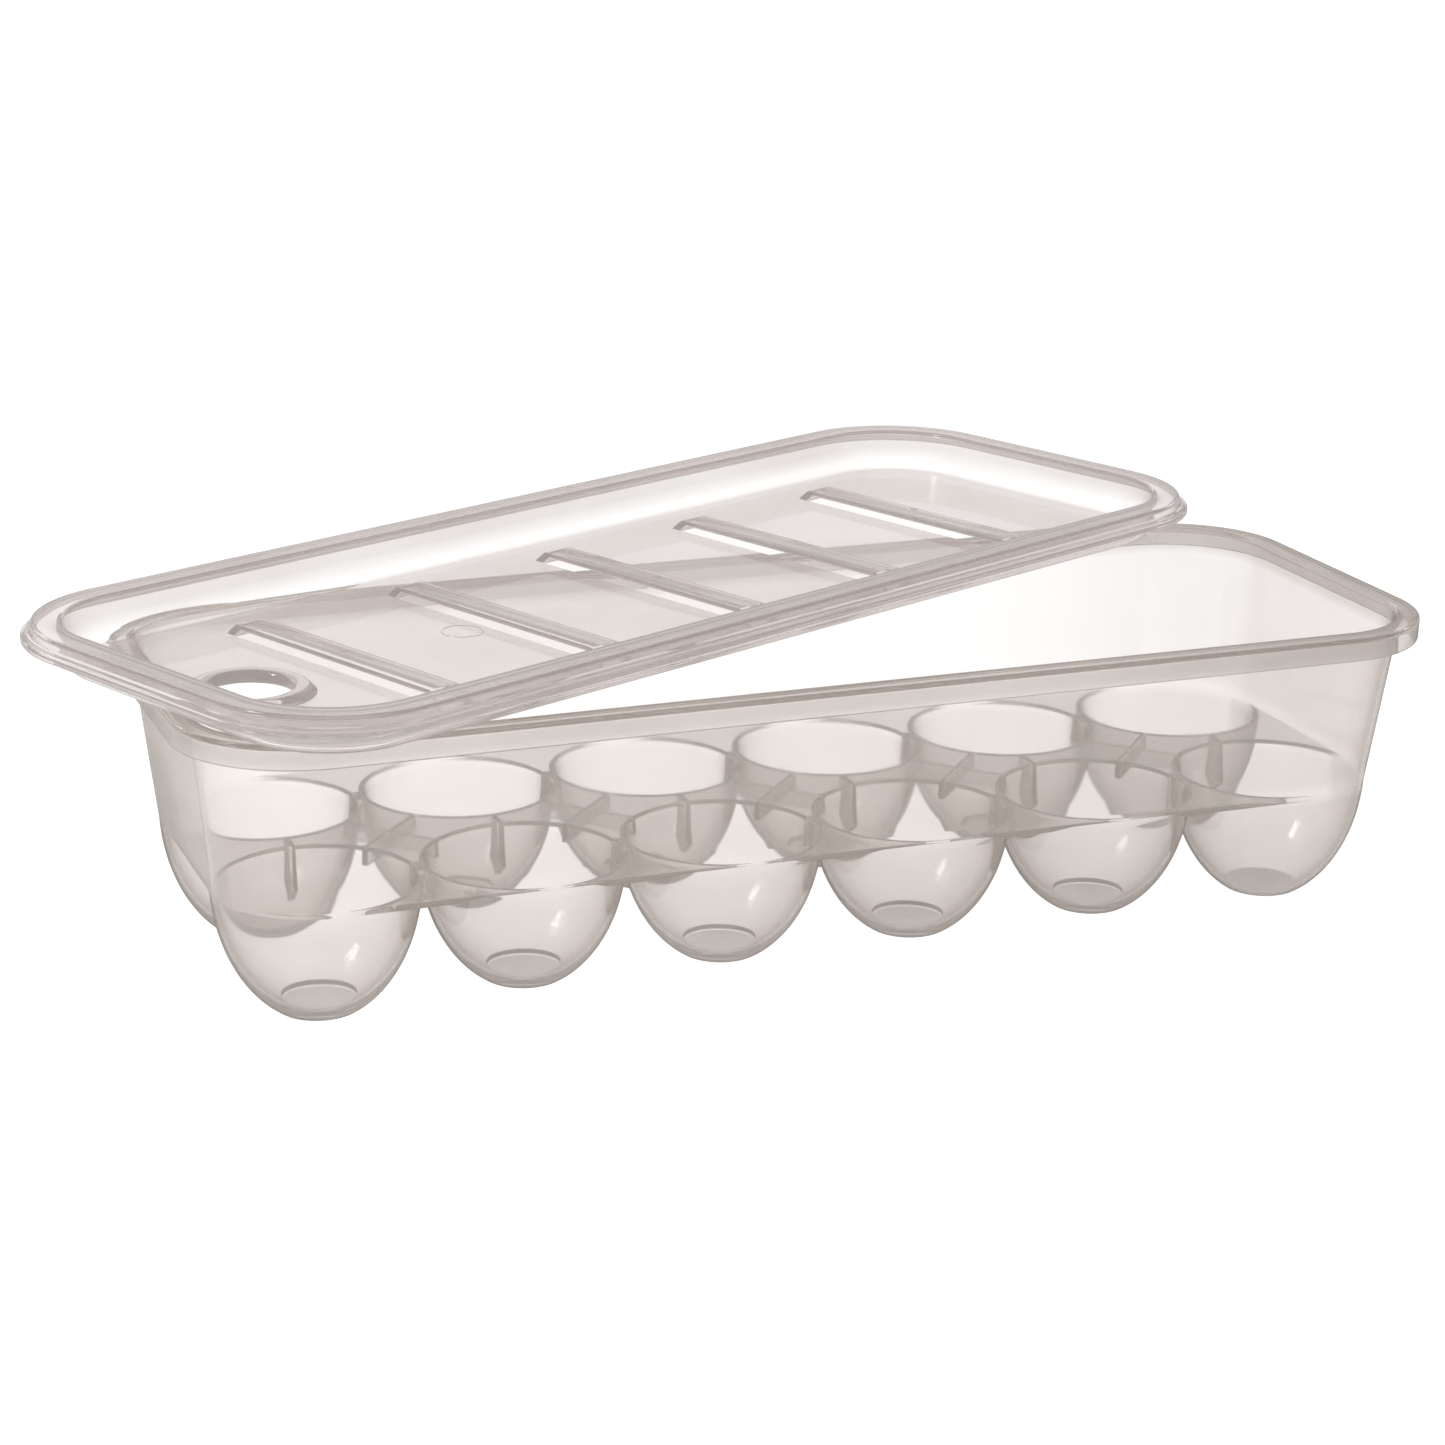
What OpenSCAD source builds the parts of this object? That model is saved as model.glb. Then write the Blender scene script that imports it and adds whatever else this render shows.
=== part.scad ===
// Fridge egg box: a clear moulded tray with two rows of egg cups and a loose lid.
// Millimetres, +Z up. The origin is on the resting plane, under the middle of the tray.
// The long side of the tray runs along X. The lid lies askew across the open tray.

/* [Egg cups] */
// Number of cups along the tray
columns = 6; // [2:1:8]
// Distance between cups along the tray
column_pitch = 50; // [50:1:60]
// Distance between the two rows of cups
row_pitch = 54; // [51:1:64]
// Outer radius of a cup at its mouth
cup_radius = 24.3; // [22:0.1:24.5]
// Height of the cup mouths above the resting plane
deck_height = 32; // [28:1:38]
// How far the feet of the middle columns stay off the resting plane
middle_lift = 1.4; // [0.2:0.2:3]

/* [Tray] */
// Height of the tray to the top of its rim
tray_height = 75; // [62:1:90]
// Wall thickness of both mouldings
wall = 1.2; // [1:0.1:1.5]
// How far each wall leans out between the deck and the rim
wall_lean = 4.6; // [2:0.2:6]
// How far the rim stands out beyond the wall
rim_overhang = 4.8; // [3:0.2:6]
// Height of the lip that hangs from the rim
lip_height = 6; // [4:0.5:8]

/* [Lid] */
// How much wider than the tray's rim the lid is on each side
lid_margin = 2.5; // [2:0.1:4]
// Height of the lid's crest above its lower edge
crest_height = 5.8; // [4.8:0.2:8]
// Depth of the sunken panel below the lid's lower edge
panel_drop = 4.8; // [3:0.2:6]
// Height of the cross ridges on the panel
ridge_height = 2.7; // [1.6:0.1:3.4]
// Radius of the round hole in the panel
hole_radius = 10; // [5:0.5:10]

/* [Lid placement] */
// Turn of the lid about the upright axis
lid_turn = 24.6; // [10:0.2:30]
// Sideways tilt of the lid as it lies
lid_tilt = 0.9; // [0:0.1:1]
// Place of the lid's middle along the tray
lid_along = -22; // [-40:1:20]
// Place of the lid's middle across the tray
lid_across = 31; // [10:1:40]

/* [Hidden] */
$fn = 96;
plastic = [0.93, 0.91, 0.9, 0.55];
cut = 0.5;
sliver = 0.001;

// tray layout
centre_x = (columns - 1) * column_pitch / 2;
centre_y = row_pitch / 2;
ledge = 0.3;
wall_radius = cup_radius + ledge;
rim_radius = wall_radius + wall_lean + rim_overhang;
cup_stretch = 1.0766;
cup_axis = deck_height * cup_stretch;
cup_bands = 12;

// ribs under the deck; each column's web stands at its own small shift along the tray
bridge_height = 8;
bridge_width = 3;
bridge_reach = 12;
row_web_shifts = [0.3, 2, 0.3, -5.5, -5, -0.3];
row_web_depth = 14;
row_web_point = 3;
cross_rib_depth = 4.5;
cross_rib_reach = 12.5;

// lid layout
lid_corner = rim_radius;
lid_x = centre_x + lid_margin;
lid_y = centre_y + lid_margin;
skirt_height = 2;
step_height = 0.7;
step_inset = 1;
crest_inset = 2.2;
crest_inner_inset = 9.6;
panel_inset = 10.8;
ridge_width = 10;
ridge_side_run = 0.6;
ridge_end_run = 3.3;
ridge_half_length = 39;
hole_from_end = 32.2;
hole_across = -2;
collar_radius = 15.5;
collar_height = 2.4;
collar_lean = 0.6;
collar_shoulder = 1.5;
collar_crown = 2.5;
collar_mouth = 1.5;
collar_bevel = 0.5;
collar_waist = 0.6;
collar_brow = 0.92;
collar_lip = 0.8;
collar_throat = 0.4;
lid_gap = 0.5;
lid_half_panel = lid_y + lid_corner - panel_inset;
lid_rest = tray_height + panel_drop + wall + lid_gap + lid_half_panel * sin(lid_tilt);

function column_x(i) = (i - (columns - 1) / 2) * column_pitch;
function foot_height(i) = (i == 0 || i == columns - 1) ? 0 : middle_lift;
function row_web_shift(i) = i < len(row_web_shifts) ? row_web_shifts[i] : 0;

// flat plate with rounded corners of radius r round corner centres at (x, y)
module rounded_plate(x, y, r, low, high) {
    translate([0, 0, low])
        linear_extrude(high - low)
            union() {
                square([2 * x, 2 * (y + r)], center = true);
                square([2 * (x + r), 2 * y], center = true);
                for (sx = [-1, 1], sy = [-1, 1])
                    translate([sx * x, sy * y])
                        circle(r);
            }
}

// the same outline with leaning walls, r_low at the bottom and r_high at the top
module leaning_block(x, y, r_low, r_high, low, high) {
    rotate([90, 0, 90])
        linear_extrude(2 * x, center = true)
            polygon([[-y - r_low, low], [y + r_low, low], [y + r_high, high], [-y - r_high, high]]);
    rotate([90, 0, 0])
        linear_extrude(2 * y, center = true)
            polygon([[-x - r_low, low], [x + r_low, low], [x + r_high, high], [-x - r_high, high]]);
    for (sx = [-1, 1], sy = [-1, 1])
        translate([sx * x, sy * y, low])
            cylinder(r1 = r_low, r2 = r_high, h = high - low);
}

// half-egg body of a cup, from its flat foot up to the deck, thinned all round by inset
module cup_body(foot, inset, top) {
    axis = (deck_height - foot) * cup_axis / deck_height;
    radius = cup_radius - inset;
    depth = axis - inset;
    last = asin((deck_height - foot - inset) / depth);
    rotate_extrude()
        polygon(concat(
            [[0, top], [0, foot + inset]],
            [for (k = [0:cup_bands])
                let (a = last * (1 - k / cup_bands))
                [radius * cos(a), deck_height - depth * sin(a)]],
            [[radius, top]]
        ));
}

// solid bridge between two neighbouring cups of one row
module row_bridge() {
    translate([-bridge_width / 2, -bridge_reach / 2, deck_height - bridge_height])
        cube([bridge_width, bridge_reach, bridge_height]);
}

// thin pointed web between the front and the back cup of a column
module row_web(reach) {
    translate([-wall / 2, 0, deck_height - wall])
        rotate([90, 0, 90])
            linear_extrude(wall)
                polygon([
                    [-reach, 0],
                    [-reach, row_web_point - row_web_depth],
                    [0, -row_web_depth],
                    [reach, row_web_point - row_web_depth],
                    [reach, 0]
                ]);
}

// crossed ribs under the star-shaped deck between four cups
module cross_ribs() {
    lean = atan2(row_pitch, column_pitch);
    for (turn = [lean, -lean])
        translate([0, 0, deck_height - wall - cross_rib_depth])
            rotate([0, 0, turn])
                translate([-cross_rib_reach, -wall / 2, 0])
                    cube([2 * cross_rib_reach, wall, cross_rib_depth]);
}

module tray_outside() {
    leaning_block(centre_x, centre_y, wall_radius, wall_radius + wall_lean, deck_height, tray_height);
    rounded_plate(centre_x, centre_y, wall_radius, deck_height - wall, deck_height);
    difference() {
        rounded_plate(centre_x, centre_y, rim_radius, tray_height - lip_height, tray_height);
        rounded_plate(centre_x, centre_y, rim_radius - wall, tray_height - lip_height - cut, tray_height - wall);
    }
    for (i = [0:columns - 1], side = [-1, 1])
        translate([column_x(i), side * centre_y, 0])
            cup_body(foot_height(i), 0, deck_height);
    for (i = [0:columns - 2]) {
        translate([column_x(i) + column_pitch / 2, 0, 0])
            cross_ribs();
        for (side = [-1, 1])
            translate([column_x(i) + column_pitch / 2, side * centre_y, 0])
                row_bridge();
    }
    for (i = [0:columns - 1])
        translate([column_x(i) + row_web_shift(i), 0, 0])
            row_web(centre_y - cup_radius + bridge_width);
}

module tray() {
    color(plastic)
        difference() {
            tray_outside();
            leaning_block(
                centre_x, centre_y,
                wall_radius - wall, wall_radius + wall_lean - wall,
                deck_height, tray_height + sliver
            );
            for (i = [0:columns - 1], side = [-1, 1])
                translate([column_x(i), side * centre_y, 0])
                    cup_body(foot_height(i), wall, deck_height + cut);
        }
}

// one raised ridge, its base on the plane z = 0, thinned by inset on its sides
module ridge_body(inset, height) {
    half = ridge_width / 2 - inset;
    length = ridge_half_length - inset;
    intersection() {
        rotate([90, 0, 0])
            linear_extrude(2 * length + 1, center = true)
                polygon([[-half, 0], [half, 0], [half - ridge_side_run, height], [ridge_side_run - half, height]]);
        rotate([90, 0, 90])
            linear_extrude(2 * half + 1, center = true)
                polygon([
                    [-length, 0],
                    [length, 0],
                    [length - ridge_end_run, height],
                    [ridge_end_run - length, height]
                ]);
    }
}

// rounded collar that stands round the hole
module collar() {
    rotate_extrude()
        polygon([
            [hole_radius, -wall],
            [collar_radius, -wall],
            [collar_radius, 0],
            [collar_radius - collar_lean, collar_height * collar_waist],
            [collar_radius - collar_shoulder, collar_height * collar_brow],
            [collar_radius - collar_crown, collar_height],
            [hole_radius + collar_mouth, collar_height],
            [hole_radius + collar_bevel, collar_height * collar_lip],
            [hole_radius, collar_height * collar_throat]
        ]);
}

module lid_shell() {
    difference() {
        union() {
            rounded_plate(lid_x, lid_y, lid_corner, 0, skirt_height);
            rounded_plate(lid_x, lid_y, lid_corner - step_inset, skirt_height, skirt_height + step_height);
            rounded_plate(lid_x, lid_y, lid_corner - crest_inset, 0, crest_height);
        }
        rounded_plate(lid_x, lid_y, lid_corner - wall, -cut, skirt_height - wall);
        rounded_plate(lid_x, lid_y, lid_corner - crest_inset - wall, -cut, crest_height - wall);
    }
    leaning_block(
        lid_x, lid_y,
        lid_corner - panel_inset + wall, lid_corner - crest_inner_inset + wall,
        -panel_drop - wall, crest_height
    );
}

module lid_shape() {
    difference() {
        union() {
            difference() {
                lid_shell();
                leaning_block(
                    lid_x, lid_y,
                    lid_corner - panel_inset, lid_corner - crest_inner_inset,
                    -panel_drop, crest_height + sliver
                );
            }
            for (i = [0:columns - 2])
                translate([column_x(i) + column_pitch / 2, 0, -panel_drop])
                    ridge_body(0, ridge_height);
            translate([hole_from_end - lid_x - lid_corner, hole_across, -panel_drop])
                collar();
        }
        for (i = [0:columns - 2])
            translate([column_x(i) + column_pitch / 2, 0, -panel_drop - wall])
                ridge_body(wall, ridge_height);
        translate([hole_from_end - lid_x - lid_corner, hole_across, -panel_drop - 2 * wall])
            cylinder(r = hole_radius, h = collar_height + 4 * wall);
    }
}

module lid() {
    color(plastic)
        translate([lid_along, lid_across, lid_rest])
            rotate([lid_tilt, 0, lid_turn])
                lid_shape();
}

tray();
lid();
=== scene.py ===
"""Looks of a clear egg storage box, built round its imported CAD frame.

The object is two clear plastic mouldings: a deep tray with egg cups, and a loose lid lying askew on it.
Shapes are drawn in millimetres in each moulding's own frame, and turned into metres when they are placed.
"""

import math

import bmesh
import bpy
from mathutils import Matrix, Vector


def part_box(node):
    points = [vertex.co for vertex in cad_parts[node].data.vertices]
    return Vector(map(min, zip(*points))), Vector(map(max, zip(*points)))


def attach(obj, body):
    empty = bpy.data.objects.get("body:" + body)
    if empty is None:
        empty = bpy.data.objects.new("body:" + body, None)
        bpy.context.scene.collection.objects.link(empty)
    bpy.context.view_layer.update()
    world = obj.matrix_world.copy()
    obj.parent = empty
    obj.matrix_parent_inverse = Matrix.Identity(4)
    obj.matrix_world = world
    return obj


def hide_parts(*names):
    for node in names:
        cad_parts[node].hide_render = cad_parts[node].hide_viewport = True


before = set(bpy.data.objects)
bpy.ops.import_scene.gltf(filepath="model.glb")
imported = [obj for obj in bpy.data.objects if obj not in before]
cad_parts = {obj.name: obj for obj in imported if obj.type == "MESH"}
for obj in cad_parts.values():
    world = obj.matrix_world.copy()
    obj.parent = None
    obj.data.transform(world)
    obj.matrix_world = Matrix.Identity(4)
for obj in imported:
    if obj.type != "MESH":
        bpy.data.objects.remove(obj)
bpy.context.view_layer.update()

MM = 0.001
SMOOTH_ANGLE = math.radians(28)
MERGE_DISTANCE = 0.004
CORNER_STEPS = 24
ROUND_STEPS = 96

# Tray: cups and deck
COLUMNS = 6
PITCH = 50.0
ROW = 27.0
DECK = 32.0
DECK_UNDER = 30.8
THIN_EDGE = 0.45
WALL = 1.2
CUP_OUTER = 24.6
CUP_INNER = 23.4
CUP_EQUATOR = 33.0
CUP_AXIS = 35.5
INNER_EQUATOR = 32.0
INNER_AXIS = 32.2
ROUND_AXIS = 33.25
MOUTH_EDGE = 0.3
STEP_RADIUS = 9.4
FLOOR_THICK = 0.6
MIDDLE_LIFT = 1.4
WEB_SHIFTS = (0.3, 2.0, 0.3, -5.5, -5.0, -0.3)
WEB_THICK = 1.6
WEB_POINT = 17.6
RIB_DEPTH = 27.2
JOIN_TOP = 31.4
BRIDGE_THICK = 3.0
CUP_ROWS = 30

# Tray: wall and rim, as half widths across the tray
HALF_LENGTH_EXTRA = 98.0
DECK_HALF = 51.0
WALL_INNER_FOOT = 50.4
WALL_INNER_TOP = 55.0
WALL_OUTER_FOOT = 51.56
WALL_OUTER_TOP = 56.1
WALL_STEPS = 8
RIM_LEVEL = 74.0
RIM_UNDER = 72.8
RIM_CORNER_LEVEL = 73.0
BASE_CORNER = 27.0
RIM_CORNER = 31.0

# Lid
LID_TURN = 24.6
LID_TILT = 0.9
LID_CORNER = 29.5
CREST_TOP = 5.8
PANEL_TOP = -4.8
PANEL_UNDER = -5.9
PAN_CORNER = 3.4
PAN_FOOT = 54.0 - PAN_CORNER
RIDGE_X = [(k - 2) * PITCH + 0.35 for k in range(5)]
RIDGE_TOP = PANEL_TOP + 2.7
HOLE = (-129.3, -2.0)
HOLE_DRILL = 10.8
RING_MARK = (-61.5, 2.2)
GATE_MARKS = ((-98.4, 1.3), (0.9, -0.7), (102.7, 2.4))

# Plastic: colours of the milkiness and of a painted glow, grey light given off inside that stands in for
# scattered light, and how milky each place is, with painted shade in the masked places
TRAY_MILK = (0.405, 0.37, 0.34, 1)
LID_MILK = (0.5, 0.46, 0.44, 1)
# Painted glow: the plastic's inside gives off grey light of its own, in these colours and this strength.
TRAY_PAINTED_GLOW = (0.86, 0.94, 0.88, 1)
LID_PAINTED_GLOW = (0.86, 0.97, 1.0, 1)
PAINTED_GLOW_STRENGTH = 36
DEPTH_COLOUR = (0.24, 0.056, 0.0, 1)
DEPTH_DENSITY = 125
SHADOW_COLOUR = (0.97, 0.96, 0.955, 1)
GLASS_IOR = 1.46
WAVE_HEIGHT = 0.00012
HAZE = 0.01
# Painted shade: cups below the deck get greyer from left to right.
CUP_PAINTED_SHADE = (0.055, 0.11)
# Painted shade on the webs, ribs and joints under the deck.
WEB_PAINTED_SHADE = 0.08
# Painted shade on the rim's hanging lip.
RIM_PAINTED_SHADE = 0.11
# Painted shade: dark arcs on the cups' floor steps.
STEP_PAINTED_SHADE = 0.8
# Painted shade on the lid's upright walls.
LID_WALL_PAINTED_SHADE = 0.18
# Painted shade: the walls above the deck grow darker towards the right end.
END_PAINTED_SHADE = 0.09
# Painted shade: darker cup outlines below the deck, where seen edge-on.
EDGE_PAINTED_SHADE = 0.38
DISC_HAZE = 0.12

# Studio
FLOOR_HALF = 6.0
FLOOR_DROP = 0.0002
FLOOR_GLOW = 0.93
WORLD_COLOUR = (1.0, 0.985, 0.975, 1)
WORLD_STRENGTH = 0.8
CAMERA_TURN = 21.304
CAMERA_DROP = 17.345
CAMERA_ROLL = 0.665
CAMERA_DISTANCE = 0.83244
CAMERA_TARGET = Vector((-0.014342, 0, 0.050151))
CAMERA_LENS = 83.80


# ---------------------------------------------------------------- mesh helpers

def new_object(name, bm):
    """A mesh object made from bm, which is used up."""
    bmesh.ops.recalc_face_normals(bm, faces=bm.faces)
    mesh = bpy.data.meshes.new(name)
    bm.to_mesh(mesh)
    bm.free()
    obj = bpy.data.objects.new(name, mesh)
    bpy.context.scene.collection.objects.link(obj)
    return obj


def join_rings(bm, lower, upper):
    """Quads between two closed rings with the same number of points; a ring of one point is a pole."""
    count = max(len(lower), len(upper))
    for k in range(count):
        n = (k + 1) % count
        if len(lower) == 1:
            bm.faces.new((lower[0], upper[n], upper[k]))
        elif len(upper) == 1:
            bm.faces.new((lower[k], lower[n], upper[0]))
        else:
            bm.faces.new((lower[k], lower[n], upper[n], upper[k]))


def rounded_outline(half_x, half_y, radius, z):
    """Points round a rounded rectangle at height z."""
    points = []
    for sx, sy, start in ((1, 1, 0), (-1, 1, 90), (-1, -1, 180), (1, -1, 270)):
        for k in range(CORNER_STEPS + 1):
            a = math.radians(start + 90 * k / CORNER_STEPS)
            x = sx * (half_x - radius) + radius * math.cos(a)
            y = sy * (half_y - radius) + radius * math.sin(a)
            points.append((x, y, z))
    return points


def sweep(bm, profile, corner_of, closed):
    """Carries a profile of (half width, height) round a rounded rectangle.

    corner_of(height) is the across position of the corner centres. An open profile gets flat caps."""
    rings = []
    for half, z in profile:
        corner = corner_of(z)
        outline = rounded_outline(half + HALF_LENGTH_EXTRA, half, half - corner, z)
        rings.append([bm.verts.new(p) for p in outline])
    for lower, upper in zip(rings, rings[1:]):
        join_rings(bm, lower, upper)
    if closed:
        join_rings(bm, rings[-1], rings[0])
    else:
        bm.faces.new(rings[0])
        bm.faces.new(reversed(rings[-1]))


def revolve(bm, profile, centre, segments=ROUND_STEPS, closed=False):
    """Turns a profile of (radius, height) about the upright axis through centre."""
    rings = []
    for radius, z in profile:
        if radius == 0:
            rings.append([bm.verts.new((centre[0], centre[1], z))])
            continue
        ring = []
        for k in range(segments):
            a = 2 * math.pi * k / segments
            x, y = centre[0] + radius * math.cos(a), centre[1] + radius * math.sin(a)
            ring.append(bm.verts.new((x, y, z)))
        rings.append(ring)
    for lower, upper in zip(rings, rings[1:]):
        join_rings(bm, lower, upper)
    if closed:
        join_rings(bm, rings[-1], rings[0])


def prism(bm, outline, thickness, matrix):
    """A plate with a flat outline of (across, up) points, its thickness centred on the plane."""
    near = [bm.verts.new(matrix @ Vector((-thickness / 2, across, up))) for across, up in outline]
    far = [bm.verts.new(matrix @ Vector((thickness / 2, across, up))) for across, up in outline]
    bm.faces.new(reversed(near))
    bm.faces.new(far)
    join_rings(bm, near, far)


def arc(centre, radius, start, end, steps):
    """Points of a circle's arc, for rounding a profile's corner."""
    points = []
    for k in range(steps + 1):
        a = math.radians(start + (end - start) * k / steps)
        points.append((centre[0] + radius * math.cos(a), centre[1] + radius * math.sin(a)))
    return points


def combine(base, tool, operation):
    """Joins or cuts base with tool, which is used up."""
    modifier = base.modifiers.new(operation, "BOOLEAN")
    modifier.operation = operation
    modifier.object = tool
    modifier.solver = "MANIFOLD"
    depsgraph = bpy.context.evaluated_depsgraph_get()
    mesh = bpy.data.meshes.new_from_object(base.evaluated_get(depsgraph))
    base.modifiers.clear()
    base.data = mesh
    bpy.data.objects.remove(tool)


def finish_mesh(obj, matrix):
    """Merges slivers, sets smooth shading with crisp creases, and places the mesh in the row frame."""
    bm = bmesh.new()
    bm.from_mesh(obj.data)
    bmesh.ops.remove_doubles(bm, verts=bm.verts, dist=MERGE_DISTANCE)
    bmesh.ops.dissolve_degenerate(bm, edges=bm.edges, dist=MERGE_DISTANCE)
    bm.to_mesh(obj.data)
    bm.free()
    obj.data.transform(matrix)
    obj.data.materials.clear()
    obj.data.shade_smooth()
    obj.data.set_sharp_from_angle(angle=SMOOTH_ANGLE)


# ---------------------------------------------------------------- tray

def column_x(i):
    return (i - (COLUMNS - 1) / 2) * PITCH


def foot_of(i):
    return 0.0 if i in (0, COLUMNS - 1) else MIDDLE_LIFT


def ellipse_radius(z, widest, equator, axis):
    return widest * math.sqrt(max(0.0, 1 - ((equator - z) / axis) ** 2))


def cup_profile(foot, stepped):
    """Closed outline of a cup's wall: up the outside from the foot, and down the inside.

    A stepped cup has a round flat sunk into its floor; the others stay round inside."""
    outer_axis = (CUP_EQUATOR - foot) * CUP_AXIS / CUP_EQUATOR
    inner_axis = (INNER_AXIS if stepped else ROUND_AXIS) - foot
    outside = [(0, foot), (8.4, foot), (9.1, foot + 0.08), (9.6, foot + 0.3)]
    start = math.asin((CUP_EQUATOR - foot - 0.6) / outer_axis)
    end = math.asin((CUP_EQUATOR - DECK_UNDER) / outer_axis)
    for k in range(CUP_ROWS + 1):
        a = start + (end - start) * k / CUP_ROWS
        outside.append((CUP_OUTER * math.cos(a), CUP_EQUATOR - outer_axis * math.sin(a)))
    mouth = arc((CUP_INNER + MOUTH_EDGE, DECK - MOUTH_EDGE), MOUTH_EDGE, 90, 180, 4)
    inside = []
    start = math.asin(1.0 / inner_axis)
    end = math.acos(STEP_RADIUS / CUP_INNER)
    for k in range(CUP_ROWS + 1):
        a = start + (end - start) * k / CUP_ROWS
        inside.append((CUP_INNER * math.cos(a), INNER_EQUATOR - inner_axis * math.sin(a)))
    if stepped:
        floor = foot + FLOOR_THICK
        top = inside[-1][1]
        inside += [(STEP_RADIUS - 0.15, top - 0.12), (STEP_RADIUS - 0.2, floor + 0.3)]
        inside += [(STEP_RADIUS - 0.5, floor), (0, floor)]
    else:
        inside += [(9.1, foot + 1.33), (8.5, foot + 1.22), (7.6, foot + 1.2), (0, foot + 1.2)]
    return outside + [(CUP_OUTER - 0.2, DECK)] + mouth + inside


def make_cups():
    bm = bmesh.new()
    for i in range(COLUMNS):
        for side in (-1, 1):
            stepped = i < COLUMNS - 1
            revolve(bm, cup_profile(foot_of(i), stepped), (column_x(i), side * ROW))
    return new_object("cups", bm)


def make_deck():
    """The flat plate between the cups, holed for each cup."""
    bm = bmesh.new()
    sweep(bm, [(DECK_HALF, DECK_UNDER), (DECK_HALF, DECK)], lambda z: BASE_CORNER, closed=False)
    plate = new_object("deck", bm)
    bm = bmesh.new()
    hole = CUP_INNER + 0.85
    for i in range(COLUMNS):
        for side in (-1, 1):
            drill = [(0, DECK_UNDER - 2), (hole, DECK_UNDER - 2), (hole, DECK + 2), (0, DECK + 2)]
            revolve(bm, drill, (column_x(i), side * ROW))
    combine(plate, new_object("drills", bm), "DIFFERENCE")
    return plate


def tray_corner(z):
    """Across position of the corner centres, moving outwards from the deck to the rim."""
    t = min(1.0, max(0.0, (z - DECK_UNDER) / (RIM_CORNER_LEVEL - DECK_UNDER)))
    return BASE_CORNER + (RIM_CORNER - BASE_CORNER) * t


def make_wall():
    """The leaning wall with its rim and hanging lip, as one closed outline carried round the tray."""
    profile = [(WALL_INNER_FOOT, DECK_UNDER)]
    for k in range(WALL_STEPS + 1):
        t = k / WALL_STEPS
        half = WALL_INNER_FOOT + (WALL_INNER_TOP - WALL_INNER_FOOT) * t
        profile.append((half, DECK + (RIM_LEVEL - DECK) * t))
    profile += arc((56.0, RIM_LEVEL), 1.0, 160, 90, 4)
    profile += arc((60.0, RIM_LEVEL), 1.0, 90, 0, 6)
    profile += arc((60.4, 69.6), 0.6, 0, -180, 6)
    profile += arc((59.2, 73.2), 0.6, 0, 90, 3)
    profile += arc((57.1, RIM_UNDER), 1.0, 90, 170, 4)
    for k in range(1, WALL_STEPS + 1):
        t = k / WALL_STEPS
        half = WALL_OUTER_TOP + (WALL_OUTER_FOOT - WALL_OUTER_TOP) * t
        profile.append((half, RIM_UNDER + (DECK_UNDER - RIM_UNDER) * t))
    bm = bmesh.new()
    sweep(bm, profile, tray_corner, closed=True)
    return new_object("wall", bm)


def wall_middle(z, offset):
    """Distance from a cup's centre line to the middle of its wall, at height z and a sideways offset."""
    radius = ellipse_radius(z, (CUP_OUTER + CUP_INNER) / 2, 32.5, 34.4)
    return math.sqrt(max(0.0, radius ** 2 - offset ** 2))


def make_bridges():
    """Small blocks that join neighbouring cups of one row."""
    bm = bmesh.new()
    for i in range(COLUMNS - 1):
        for side in (-1, 1):
            place = Matrix.Translation((column_x(i) + PITCH / 2, side * ROW, 0))
            outline = [(-4.4, JOIN_TOP), (-3.8, 24), (-2, 22.6), (2, 22.6), (3.8, 24), (4.4, JOIN_TOP)]
            prism(bm, outline, BRIDGE_THICK, place)
    return new_object("bridges", bm)


def make_webs():
    """Upright pointed webs between the front and the back cup of each column."""
    bm = bmesh.new()
    for i, shift in enumerate(WEB_SHIFTS):
        heights = [JOIN_TOP, 28, 24.5, 21]
        right = [(ROW - wall_middle(z, shift), z) for z in heights]
        left = [(-across, z) for across, z in reversed(right)]
        place = Matrix.Translation((column_x(i) + shift, 0, 0))
        prism(bm, left + right + [(0, WEB_POINT)], WEB_THICK, place)
    return new_object("webs", bm)


def make_ribs(turn_sign):
    """Diagonal ribs under the star-shaped deck, all leaning the same way."""
    bm = bmesh.new()
    angle = math.atan2(ROW, PITCH / 2)
    reach = math.hypot(ROW, PITCH / 2)
    for i in range(COLUMNS - 1):
        place = Matrix.Translation((column_x(i) + PITCH / 2, 0, 0))
        turn = Matrix.Rotation(turn_sign * angle - math.pi / 2, 4, "Z")
        right = [(reach - wall_middle(z, 0), z) for z in (JOIN_TOP, RIB_DEPTH)]
        left = [(-across, z) for across, z in reversed(right)]
        prism(bm, left + right, WEB_THICK, place @ turn)
    return new_object("ribs", bm)


def make_thinning():
    """Blocks that thin the deck's front edge at the middle cups, tapering out at both ends."""
    bm = bmesh.new()
    lift = DECK - THIN_EDGE
    under = DECK_UNDER - 0.1
    for i in range(1, COLUMNS - 1):
        start = column_x(i) - PITCH / 2 + 0.5
        end = column_x(i) + PITCH / 2 - 12.0
        outline = [(start, under), (start + 6.5, lift), (end - 4, lift), (end, under)]
        outline += [(end, 29.0), (start, 29.0)]
        front = [bm.verts.new((x, -54.0, z)) for x, z in outline]
        back = [bm.verts.new((x, -28.0, z)) for x, z in outline]
        bm.faces.new(front)
        bm.faces.new(reversed(back))
        join_rings(bm, front, back)
    return new_object("thinning", bm)


def make_tray():
    tray = make_deck()
    combine(tray, make_wall(), "UNION")
    combine(tray, make_thinning(), "DIFFERENCE")
    for part in (make_cups(), make_bridges(), make_webs(), make_ribs(1), make_ribs(-1)):
        combine(tray, part, "UNION")
    tray.name = "tray_moulding"
    finish_mesh(tray, Matrix.Scale(MM, 4))
    return tray


# ---------------------------------------------------------------- lid

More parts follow.
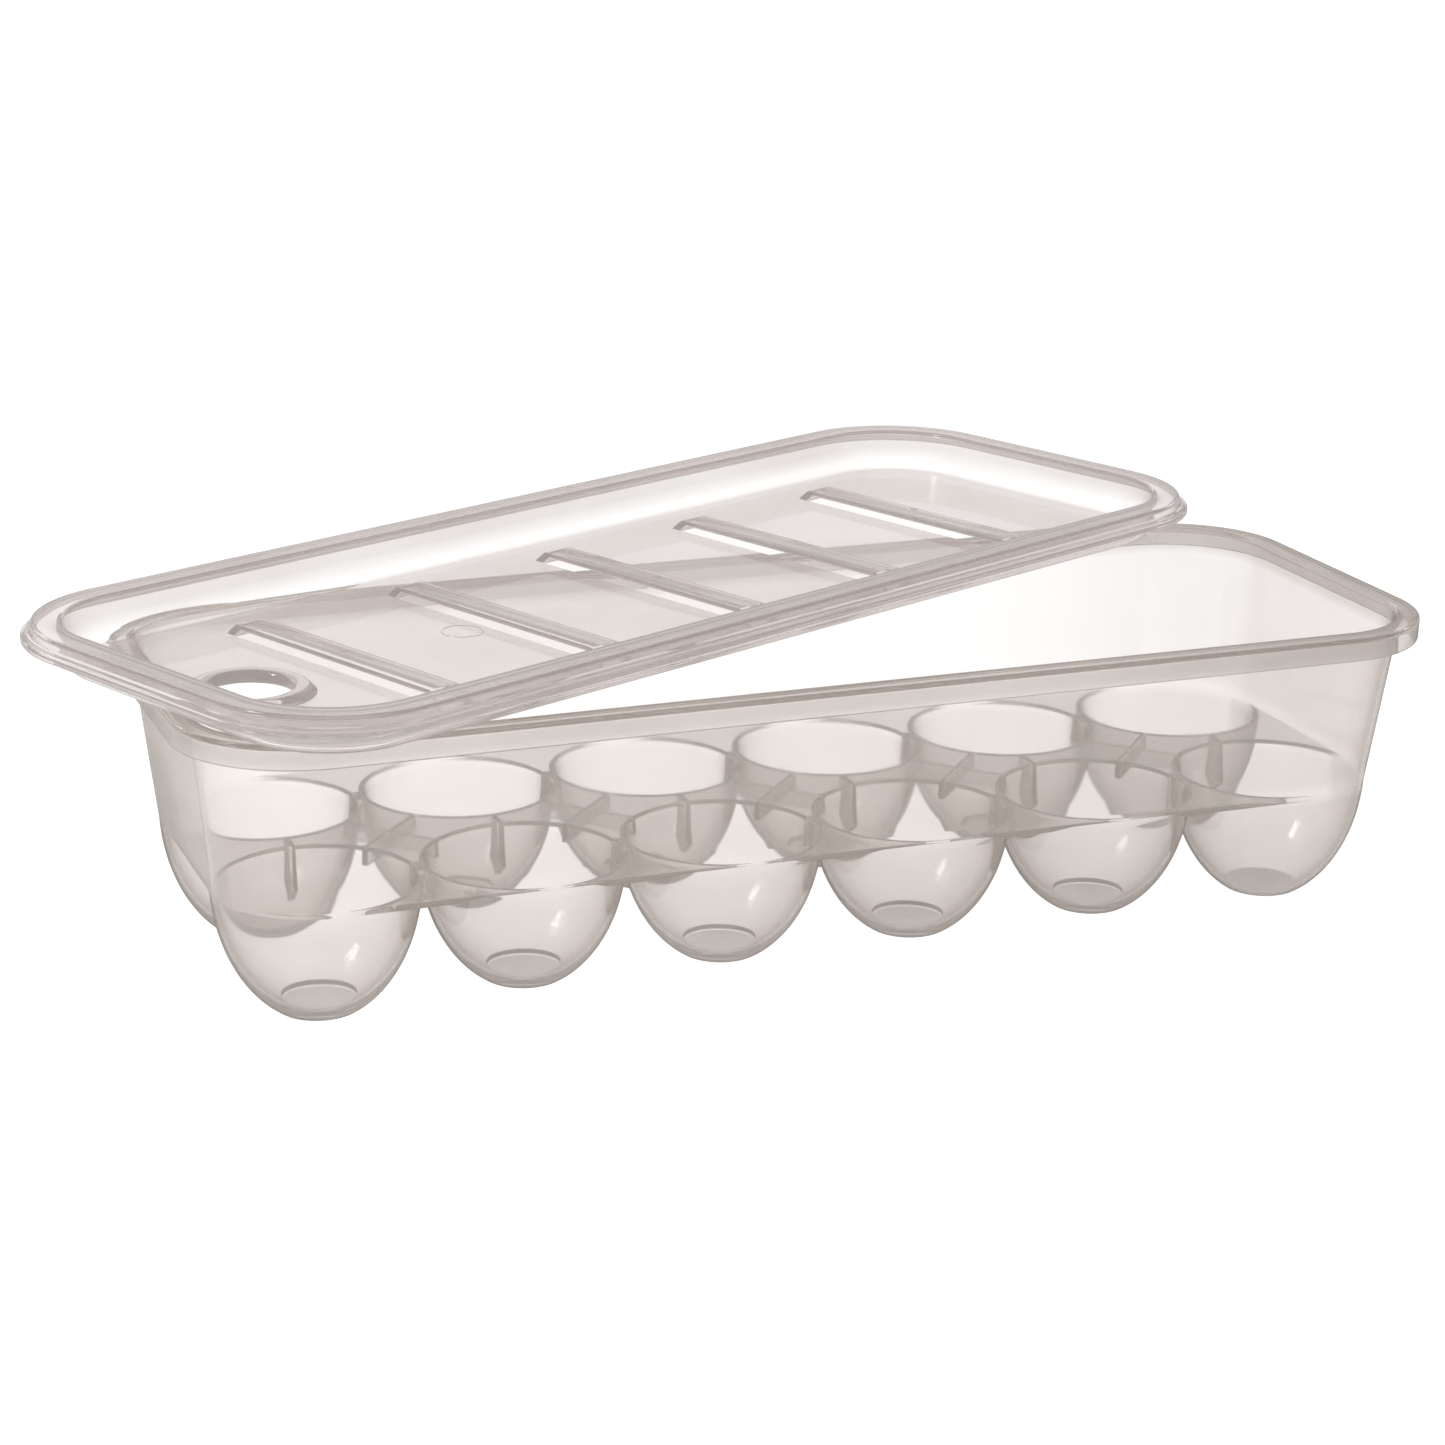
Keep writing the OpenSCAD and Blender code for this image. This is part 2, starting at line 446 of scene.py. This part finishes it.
def make_lid_base():
    """Skirt, hollow crest, leaning inner wall and sunken panel, as one outline carried round the lid."""
    top = [(PAN_FOOT - 0.6, PANEL_TOP)]
    top += arc((PAN_FOOT, PANEL_UNDER + PAN_CORNER), PAN_CORNER - 1.1, -90, -10, 10)
    top += arc((54.8, CREST_TOP - 0.9), 0.9, 170, 90, 4)
    top += arc((60.3, CREST_TOP - 1.0), 1.0, 90, 5, 5)
    top += [(61.45, 3.6), (61.6, 3.45), (62.3, 3.4), (62.4, 3.3), (62.4, 2.9), (62.5, 2.8), (63.2, 2.75)]
    top += [(63.45, 2.6), (63.5, 2.4), (63.5, 1.4), (63.35, 1.15), (63.1, 1.1)]
    under = [(62.7, 1.1), (62.5, 1.25), (62.3, 1.7), (61.4, 1.9), (60.5, 2.4)]
    under.append((60.1, 4.0))
    under += arc((59.6, CREST_TOP - WALL - 0.5), 0.5, 0, 90, 3)
    under += arc((55.3, CREST_TOP - WALL - 0.3), 0.3, 90, 170, 2)
    under += arc((PAN_FOOT, PANEL_UNDER + PAN_CORNER), PAN_CORNER, -10, -90, 12)
    under.append((PAN_FOOT - 0.6, PANEL_UNDER))
    bm = bmesh.new()
    sweep(bm, top + under, lambda z: LID_CORNER, closed=False)
    return new_object("lid_base", bm)


def ridge_block(bm, x, half_width, half_length, base, top, side_run, end_run):
    """One raised ridge with sloping sides and ends."""
    corners = ((-1, -1), (1, -1), (1, 1), (-1, 1))
    low = [(x + sx * half_width, sy * half_length, base) for sx, sy in corners]
    high = [(x + sx * (half_width - side_run), sy * (half_length - end_run), top) for sx, sy in corners]
    lower = [bm.verts.new(p) for p in low]
    upper = [bm.verts.new(p) for p in high]
    bm.faces.new(reversed(lower))
    bm.faces.new(upper)
    join_rings(bm, lower, upper)


def make_ridges(inner):
    """The ridges' outer bodies, or the hollows under them."""
    bm = bmesh.new()
    for x in RIDGE_X:
        if inner:
            ridge_block(bm, x, 3.9, 37.6, PANEL_UNDER - 1.0, PANEL_TOP + 1.5, 0.5, 3.6)
        else:
            ridge_block(bm, x, 5.0, 39.2, PANEL_UNDER + 0.3, RIDGE_TOP, 0.6, 3.8)
    edges = [e for e in bm.edges if not all(v.co.z < PANEL_UNDER + 0.5 for v in e.verts)]
    width = 0.25 if inner else 0.45
    bmesh.ops.bevel(bm, geom=edges, offset=width, segments=3, profile=0.5, affect="EDGES")
    return new_object("ridges", bm)


def make_collar():
    """Rounded collar round the finger hole."""
    profile = [(10.3, PANEL_UNDER), (10.0, PANEL_UNDER + 0.4), (10.0, PANEL_TOP + 0.4)]
    profile += arc((11.4, PANEL_TOP + 0.4), 1.4, 170, 100, 6)
    profile += arc((12.8, PANEL_TOP - 0.2), 2.0, 80, 20, 7)
    profile += [(15.3, PANEL_TOP + 0.1), (15.7, PANEL_TOP - 0.3), (15.6, PANEL_UNDER)]
    bm = bmesh.new()
    revolve(bm, profile, HOLE, closed=True)
    return new_object("collar", bm)


def make_marks():
    """Small marks that the mould leaves: a thin circle on the panel and gate dots on the ridges."""
    bm = bmesh.new()
    foot, crown = PANEL_TOP - 0.1, PANEL_TOP + 0.12
    ring = [(4.75, foot), (4.9, crown), (5.1, crown), (5.25, foot)]
    revolve(bm, ring, RING_MARK, 48, closed=True)
    dot = [(0, -0.3), (1.3, -0.3), (1.2, 0.12), (0.8, 0.3), (0, 0.35)]
    for centre in GATE_MARKS:
        revolve(bm, [(radius, RIDGE_TOP + z) for radius, z in dot], centre, 24)
    return new_object("marks", bm)


def lid_matrix():
    """Turns the lid as it lies, in millimetres, before it is moved to its place."""
    return Matrix.Rotation(math.radians(LID_TURN), 4, "Z") @ Matrix.Rotation(math.radians(LID_TILT), 4, "X")


def make_lid():
    lid = make_lid_base()
    combine(lid, make_ridges(inner=False), "UNION")
    combine(lid, make_ridges(inner=True), "DIFFERENCE")
    bm = bmesh.new()
    revolve(bm, [(0, -9), (HOLE_DRILL, -9), (HOLE_DRILL, 0), (0, 0)], HOLE)
    combine(lid, new_object("hole", bm), "DIFFERENCE")
    combine(lid, make_collar(), "UNION")
    combine(lid, make_marks(), "UNION")
    lid.name = "lid_moulding"
    finish_mesh(lid, Matrix.Scale(MM, 4) @ lid_matrix())
    low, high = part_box("lid")
    corners = [Vector(v.co) for v in lid.data.vertices]
    centre = Vector([(min(c[k] for c in corners) + max(c[k] for c in corners)) / 2 for k in range(3)])
    lid.data.transform(Matrix.Translation((low + high) / 2 - centre))
    return lid


# ---------------------------------------------------------------- materials

def node_tree(name):
    material = bpy.data.materials.new(name)
    material.use_nodes = True
    material.node_tree.nodes.clear()
    return material, material.node_tree.nodes, material.node_tree.links


def noise_field(nodes, links, coordinates, scale, detail):
    noise = nodes.new("ShaderNodeTexNoise")
    noise.inputs["Scale"].default_value = scale
    noise.inputs["Detail"].default_value = detail
    links.new(coordinates.outputs["Object"], noise.inputs["Vector"])
    return noise.outputs["Fac"]


def noise_range(nodes, links, coordinates, scale, detail, low, high):
    """A slowly varying value between low and high over the surface."""
    return ramp(nodes, links, noise_field(nodes, links, coordinates, scale, detail), 0.3, 0.7, low, high)


def math_node(nodes, links, operation, first, second=0.0, clamp=False):
    """One step of arithmetic on numbers or sockets."""
    node = nodes.new("ShaderNodeMath")
    node.operation = operation
    node.use_clamp = clamp
    for socket, value in zip(node.inputs, (first, second)):
        if isinstance(value, (int, float)):
            socket.default_value = value
        else:
            links.new(value, socket)
    return node.outputs[0]


def ramp(nodes, links, value, start, end, low=0.0, high=1.0):
    """Runs from low to high while value goes from start to end, and holds there."""
    node = nodes.new("ShaderNodeMapRange")
    node.inputs["From Min"].default_value = start
    node.inputs["From Max"].default_value = end
    node.inputs["To Min"].default_value = low
    node.inputs["To Max"].default_value = high
    links.new(value, node.inputs["Value"])
    return node.outputs["Result"]


def product(nodes, links, *factors):
    """All the factors multiplied together."""
    result = factors[0]
    for factor in factors[1:]:
        result = math_node(nodes, links, "MULTIPLY", result, factor)
    return result


def absolute(nodes, links, value):
    return math_node(nodes, links, "ABSOLUTE", value)


def split(nodes, links, vector):
    node = nodes.new("ShaderNodeSeparateXYZ")
    links.new(vector, node.inputs["Vector"])
    return node.outputs["X"], node.outputs["Y"], node.outputs["Z"]


def lid_painted_shade(nodes, links, place, normal):
    """Painted shade on the lid, mixed in as extra milky grey: its upright walls above the panel are darker."""
    upright = absolute(nodes, links, normal[2])
    high = ramp(nodes, links, place[2], 80 * MM, 84 * MM)
    # Painted shade: upright walls above the panel darker.
    return [product(nodes, links, high, ramp(nodes, links, upright, 0.9, 0.6, 0, LID_WALL_PAINTED_SHADE))]


def tray_shade_and_haze(nodes, links, place, normal, slope):
    """Extra haze on the tray, most of it painted shade: cups below the deck greyer from left to right, a
    darker lip, webs, joints, floor steps, right end and cup edges; also more haze on the floor discs.
    """
    length, width, height = place
    upright = absolute(nodes, links, normal[2])
    along = absolute(nodes, links, normal[0])
    across = absolute(nodes, links, width)
    row_gap = absolute(nodes, links, math_node(nodes, links, "SUBTRACT", across, ROW * MM))

    def band(value, start, end, low=0.0, high=1.0):
        return ramp(nodes, links, value, start, end, low, high)

    under_deck = band(height, JOIN_TOP * MM, 31.0 * MM)
    masks = (
        # Painted shade: cups below the deck, greyer from left to right.
        (band(height, DECK * MM, (DECK - 3) * MM), band(length, -125 * MM, 125 * MM, *CUP_PAINTED_SHADE)),
        # Painted shade on the rim's lip.
        (band(height, 68 * MM, 70 * MM), band(height, 74 * MM, 73 * MM, 0, RIM_PAINTED_SHADE)),
        # Painted shade on the webs.
        (under_deck, band(along, 0.69, 0.72), band(across, 9.2 * MM, 8.8 * MM, 0, WEB_PAINTED_SHADE)),
        # Painted shade on the joints between neighbouring cups of a row.
        (under_deck, band(along, 0.95, 0.98), band(row_gap, 6.5 * MM, 5.5 * MM, 0, WEB_PAINTED_SHADE)),
        # Painted shade: dark arcs on the upright faces of the floor steps.
        (band(height, 5.0 * MM, 4.6 * MM), band(upright, 0.6, 0.4, 0, STEP_PAINTED_SHADE)),
        # Painted shade: walls darker towards the right end.
        (band(height, 33 * MM, 36 * MM), band(length, 70 * MM, 140 * MM, 0, END_PAINTED_SHADE)),
        (band(height, 2.8 * MM, 2.4 * MM), band(upright, 0.9, 0.97, 0, DISC_HAZE)),
        # Painted shade: cup outlines below the deck darker where seen edge-on.
        (band(height, 31 * MM, 28 * MM), math_node(nodes, links, "POWER", slope, 3.0), EDGE_PAINTED_SHADE),
    )
    return [product(nodes, links, *mask) for mask in masks]


def haze_and_shade_amount(nodes, links, coordinates, is_tray, broad, sharp):
    """How milky the surface is: a little everywhere, more along grazing walls, which is partly milkiness and
    partly painted shade, and painted shade in the masked places.
    """
    facing = nodes.new("ShaderNodeLayerWeight")
    facing.inputs["Blend"].default_value = 0.5
    slope = facing.outputs["Facing"]
    place = split(nodes, links, coordinates.outputs["Object"])
    normal = split(nodes, links, coordinates.outputs["Normal"])
    # Haze towards grazing walls: partly the plastic's milkiness, partly painted shade that darkens walls seen
    # edge-on.
    wide = product(nodes, links, math_node(nodes, links, "POWER", slope, 2.0), broad)
    narrow = product(nodes, links, math_node(nodes, links, "POWER", slope, 5.0), sharp)
    if is_tray:
        extras = tray_shade_and_haze(nodes, links, place, normal, slope)
    else:
        extras = lid_painted_shade(nodes, links, place, normal)
    total = math_node(nodes, links, "ADD", math_node(nodes, links, "ADD", wide, narrow), HAZE)
    for extra in extras:
        total = math_node(nodes, links, "ADD", total, extra)
    strength = noise_range(nodes, links, coordinates, 25, 3, 0.85, 1.15)
    return math_node(nodes, links, "MULTIPLY", total, strength, clamp=True)


def mix_shaders(nodes, links, first, second, factor=None):
    """Mixes two shaders, half and half unless a factor is given."""
    mix = nodes.new("ShaderNodeMixShader")
    if factor is not None:
        links.new(factor, mix.inputs["Fac"])
    links.new(first, mix.inputs[1])
    links.new(second, mix.inputs[2])
    return mix.outputs["Shader"]


def refracting_glass(nodes, links, coordinates, waviness):
    """The clear plastic itself, with faint waves and a slightly uneven polish."""
    glass = nodes.new("ShaderNodeBsdfPrincipled")
    glass.inputs["Base Color"].default_value = (1, 1, 1, 1)
    glass.inputs["Transmission Weight"].default_value = 1.0
    glass.inputs["IOR"].default_value = GLASS_IOR
    links.new(noise_range(nodes, links, coordinates, 60, 4, 0.03, 0.07), glass.inputs["Roughness"])
    bump = nodes.new("ShaderNodeBump")
    bump.inputs["Strength"].default_value = waviness
    bump.inputs["Distance"].default_value = WAVE_HEIGHT
    links.new(noise_field(nodes, links, coordinates, 40, 2), bump.inputs["Height"])
    links.new(bump.outputs["Normal"], glass.inputs["Normal"])
    return glass.outputs["BSDF"]


def plain_shader(nodes, kind, colour):
    node = nodes.new(kind)
    node.inputs["Color"].default_value = colour
    return node.outputs["BSDF"]


def body_volume(nodes, links, painted_glow_colour):
    """Absorption that warms thick plastic, and a painted glow: grey light given off inside the plastic, in
    place of the light its milkiness would scatter.
    """
    depth = nodes.new("ShaderNodeVolumeAbsorption")
    depth.inputs["Color"].default_value = DEPTH_COLOUR
    depth.inputs["Density"].default_value = DEPTH_DENSITY
    # Painted glow: constant grey light given off inside the plastic, standing in for scattered light.
    glow = nodes.new("ShaderNodeEmission")
    glow.inputs["Color"].default_value = painted_glow_colour
    glow.inputs["Strength"].default_value = PAINTED_GLOW_STRENGTH
    both = nodes.new("ShaderNodeAddShader")
    links.new(depth.outputs["Volume"], both.inputs[0])
    links.new(glow.outputs["Emission"], both.inputs[1])
    return both.outputs["Shader"]


def clear_plastic(name, is_tray, broad, sharp, waviness, milk, painted_glow_colour):
    """Milky clear plastic: refracting, with a painted glow inside and a grey body that deepens where a wall is
    seen along its length, partly milkiness and partly painted shade.

    broad and sharp set how much the milkiness and the painted shade grow towards grazing walls."""
    material, nodes, links = node_tree(name)
    output = nodes.new("ShaderNodeOutputMaterial")
    coordinates = nodes.new("ShaderNodeTexCoord")
    glass = refracting_glass(nodes, links, coordinates, waviness)
    lit = plain_shader(nodes, "ShaderNodeBsdfDiffuse", milk)
    through = plain_shader(nodes, "ShaderNodeBsdfTranslucent", milk)
    haze = mix_shaders(nodes, links, lit, through)
    # The mix towards grey haze carries painted shade as well as milkiness.
    milkiness = haze_and_shade_amount(nodes, links, coordinates, is_tray, broad, sharp)
    body = mix_shaders(nodes, links, glass, haze, milkiness)
    ray = nodes.new("ShaderNodeLightPath")
    shadow = plain_shader(nodes, "ShaderNodeBsdfTransparent", SHADOW_COLOUR)
    links.new(mix_shaders(nodes, links, body, shadow, ray.outputs["Is Shadow Ray"]), output.inputs["Surface"])
    links.new(body_volume(nodes, links, painted_glow_colour), output.inputs["Volume"])
    return material


def floor_material():
    """Pale sweep, evenly lit from below as well as from above."""
    material, nodes, links = node_tree("floor_white")
    output = nodes.new("ShaderNodeOutputMaterial")
    paint = nodes.new("ShaderNodeBsdfPrincipled")
    paint.inputs["Base Color"].default_value = (0.3, 0.3, 0.3, 1)
    paint.inputs["Roughness"].default_value = 0.9
    paint.inputs["Specular IOR Level"].default_value = 0.0
    paint.inputs["Emission Color"].default_value = (1, 1, 1, 1)
    paint.inputs["Emission Strength"].default_value = FLOOR_GLOW
    links.new(paint.outputs["BSDF"], output.inputs["Surface"])
    return material


# ---------------------------------------------------------------- studio

def make_floor():
    bm = bmesh.new()
    signs = ((-1, -1), (1, -1), (1, 1), (-1, 1))
    bm.faces.new([bm.verts.new((sx * FLOOR_HALF, sy * FLOOR_HALF, -FLOOR_DROP)) for sx, sy in signs])
    floor = new_object("floor", bm)
    floor.data.materials.append(floor_material())


def area_light(name, place, aim, size, power):
    light = bpy.data.lights.new(name, "AREA")
    light.shape = "RECTANGLE"
    light.size = size[0]
    light.size_y = size[1]
    light.energy = power
    obj = bpy.data.objects.new(name, light)
    obj.location = place
    obj.rotation_euler = (Vector(aim) - Vector(place)).to_track_quat("-Z", "Y").to_euler()
    bpy.context.scene.collection.objects.link(obj)


def make_world():
    world = bpy.data.worlds.new("studio")
    world.use_nodes = True
    background = world.node_tree.nodes["Background"]
    background.inputs["Color"].default_value = WORLD_COLOUR
    background.inputs["Strength"].default_value = WORLD_STRENGTH
    bpy.context.scene.world = world


def make_camera():
    """Camera at the viewing angle of the reference view, a long lens looking down on the front right."""
    turn, drop, roll = (math.radians(a) for a in (CAMERA_TURN, CAMERA_DROP, CAMERA_ROLL))
    look = Vector((math.sin(turn) * math.cos(drop), math.cos(turn) * math.cos(drop), -math.sin(drop)))
    side = Vector((math.cos(turn), -math.sin(turn), 0))
    up = side.cross(look)
    right = side * math.cos(roll) + up * math.sin(roll)
    top = up * math.cos(roll) - side * math.sin(roll)
    camera = bpy.data.cameras.new("camera")
    camera.lens = CAMERA_LENS
    camera.sensor_width = 36
    camera.clip_start = 0.01
    obj = bpy.data.objects.new("camera", camera)
    place = CAMERA_TARGET - look * CAMERA_DISTANCE
    rotation = Matrix((right, top, -look)).transposed()
    obj.matrix_world = Matrix.Translation(place) @ rotation.to_4x4()
    bpy.context.scene.collection.objects.link(obj)
    bpy.context.scene.camera = obj


def set_light_paths():
    """Enough bounces for light to cross every wall, and plain white balance."""
    scene = bpy.context.scene
    cycles = scene.cycles
    cycles.max_bounces = 40
    cycles.transmission_bounces = 40
    cycles.glossy_bounces = 12
    cycles.diffuse_bounces = 4
    cycles.transparent_max_bounces = 48
    cycles.volume_bounces = 0
    cycles.sample_clamp_indirect = 8
    cycles.caustics_reflective = True
    cycles.caustics_refractive = True
    cycles.use_denoising = True
    scene.view_settings.view_transform = "Standard"


tray = make_tray()
tray.data.materials.append(clear_plastic("clear_plastic_tray", True, 0.35, 0.9, 0.1, TRAY_MILK, TRAY_PAINTED_GLOW))
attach(tray, "tray")
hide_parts("tray")

lid = make_lid()
lid.data.materials.append(clear_plastic("clear_plastic_lid", False, 0.3, 0.42, 0.03, LID_MILK, LID_PAINTED_GLOW))
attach(lid, "lid")
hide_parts("lid")

make_floor()
area_light("softbox_left", (-0.775, -0.03, 0.69), (0, 0, 0.02), (0.16, 0.28), 2.4)
make_world()
make_camera()
set_light_paths()
